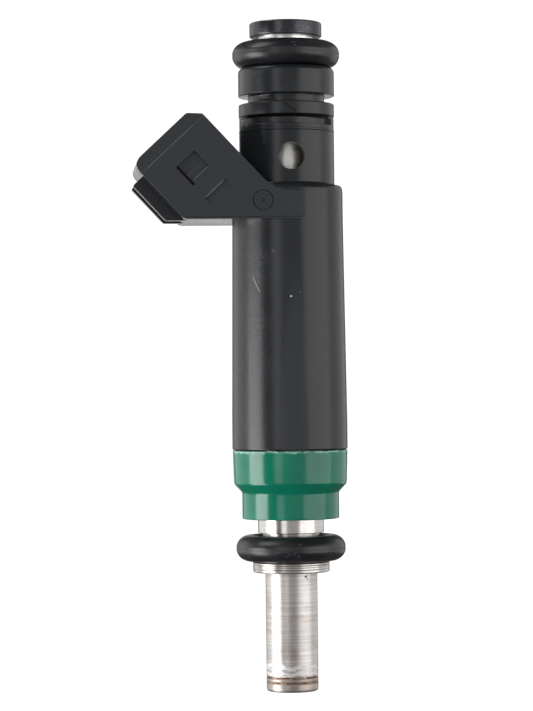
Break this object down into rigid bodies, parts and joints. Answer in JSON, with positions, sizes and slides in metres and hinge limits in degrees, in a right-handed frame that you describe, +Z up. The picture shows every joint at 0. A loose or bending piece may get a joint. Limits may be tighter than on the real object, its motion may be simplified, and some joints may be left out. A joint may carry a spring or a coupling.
{
  "type": "fuel injector",
  "caption": "Top-feed port fuel injector: moulded body with an angled electrical header, sealed inlet, coloured spacer ring, long bright tip and a spring-closed ball valve inside.",
  "frame": {"origin": "centre of the spray plate's outer face at the end of the tip", "axes": "+Z up the injector's axis from the tip to the fuel inlet; the electrical header leans out towards -X; the front faces -Y"},
  "size_m": [0.0289, 0.0156, 0.0899],
  "materials": {
    "jacket": "black glass-filled nylon moulding, fine grain, soft sheen with light handling scuffs",
    "spacer_ring": "glossy green moulding with a slightly ragged flash line on its top edge",
    "upper_o_ring": "black fluoroelastomer, satin, faint mould parting line",
    "lower_o_ring": "black fluoroelastomer, satin, faint mould parting line",
    "inlet_cap": "dark grey-black cap, fine sparkle, matte",
    "inlet_tube": "turned stainless steel, fine circumferential lines",
    "filter_collar": "drawn brass collar",
    "filter_frame": "natural nylon frame",
    "filter_mesh": "woven nylon screen",
    "adjusting_tube": "rolled steel tube",
    "return_spring": "stainless spring wire",
    "terminal_front": "tinned bronze blade",
    "terminal_back": "tinned bronze blade",
    "flux_washer": "stamped magnetic steel",
    "magnet_can": "drawn magnetic steel shell",
    "bobbin": "brown nylon bobbin",
    "winding": "enamelled copper wire, close wound",
    "magnetic_sleeve": "drawn stainless sleeve",
    "armature": "plated magnetic steel",
    "needle_tube": "drawn stainless tube",
    "valve_ball": "lapped hardened steel ball",
    "valve_body": "turned stainless steel, bright",
    "tip_flange": "turned stainless ring with fine grooves and a few rust specks",
    "tip_tube": "turned stainless tube with heat-tinted weld rings near its end",
    "ball_guide": "stamped steel guide",
    "valve_seat": "ground hardened seat",
    "orifice_plate": "etched stainless plate"
  },
  "bodies": {
    "housing": {"jacket": "jacket", "spacer_ring": "spacer_ring", "upper_o_ring": "upper_o_ring", "lower_o_ring": "lower_o_ring", "inlet_cap": "inlet_cap", "inlet_tube": "inlet_tube", "filter_collar": "filter_collar", "filter_frame": "filter_frame", "filter_mesh": "filter_mesh", "adjusting_tube": "adjusting_tube", "return_spring": "return_spring", "terminal_front": "terminal_front", "terminal_back": "terminal_back", "flux_washer": "flux_washer", "magnet_can": "magnet_can", "bobbin": "bobbin", "winding": "winding", "magnetic_sleeve": "magnetic_sleeve", "valve_body": "valve_body", "tip_flange": "tip_flange", "tip_tube": "tip_tube", "ball_guide": "ball_guide", "valve_seat": "valve_seat", "orifice_plate": "orifice_plate"},
    "needle": {"armature": "armature", "needle_tube": "needle_tube", "valve_ball": "valve_ball"}
  },
  "joints": [
    {"name": "needle_lift", "type": "slide", "parent": "housing", "child": "needle", "axis": [0, 0, 1], "range_m": [0, 0.00008], "stiffness_N_per_m": 400, "springref_m": -0.008, "deforming": ["return_spring"]}
  ]
}
